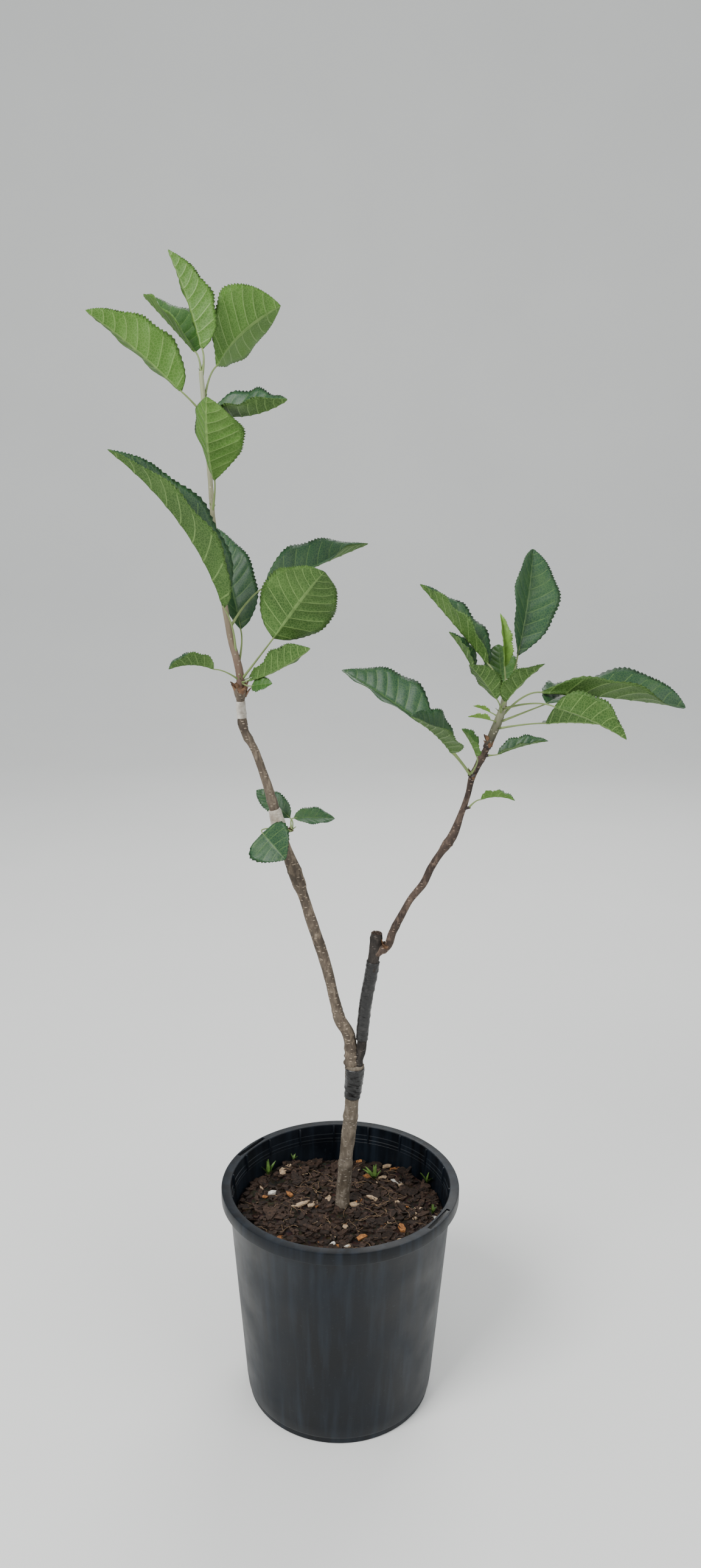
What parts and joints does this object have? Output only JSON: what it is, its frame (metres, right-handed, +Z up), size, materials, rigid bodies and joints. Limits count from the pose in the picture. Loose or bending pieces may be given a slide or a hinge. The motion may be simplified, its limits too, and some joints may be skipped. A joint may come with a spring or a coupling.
{
  "type": "potted fruit tree",
  "caption": "Young grafted dwarf apple tree with two leafy limbs on a short taped trunk, growing in soil in a round black nursery pot.",
  "frame": {"origin": "centre of the pot's flat underside", "axes": "+Z up; +X towards the right-hand limb, as seen from the front; -Y is the front"},
  "size_m": [0.4557, 0.204, 0.9419],
  "materials": {
    "pot": "semi-matt black moulded plastic with fine scuffs",
    "soil": "loose dark bark compost",
    "trunk": "grey brown bark",
    "leader_stub": "grey brown bark with a dark cut end",
    "left_bough": "red brown smooth bark",
    "right_bough": "dark red brown smooth bark",
    "trunk_tape": "black grafting tape",
    "leader_tape": "black grafting tape",
    "graft_film": "cloudy grafting film",
    "tip_film": "white grafting film",
    "left_shoot_lower_leaves": "matt green leaf",
    "left_shoot_top_leaves": "matt green leaf",
    "graft_leaves": "matt green leaf",
    "right_shoot_leaves": "matt green leaf",
    "right_spur_leaves": "matt green leaf",
    "right_side_leaf": "matt green leaf",
    "right_low_leaf": "matt green leaf"
  },
  "bodies": {
    "root": {"pot": "pot", "soil": "soil", "trunk": "trunk", "leader_stub": "leader_stub", "left_bough": "left_bough", "right_bough": "right_bough", "trunk_tape": "trunk_tape", "leader_tape": "leader_tape", "graft_film": "graft_film", "tip_film": "tip_film", "left_shoot_lower_leaves": "left_shoot_lower_leaves", "left_shoot_top_leaves": "left_shoot_top_leaves", "graft_leaves": "graft_leaves", "right_shoot_leaves": "right_shoot_leaves", "right_spur_leaves": "right_spur_leaves", "right_side_leaf": "right_side_leaf", "right_low_leaf": "right_low_leaf"}
  },
  "joints": []
}
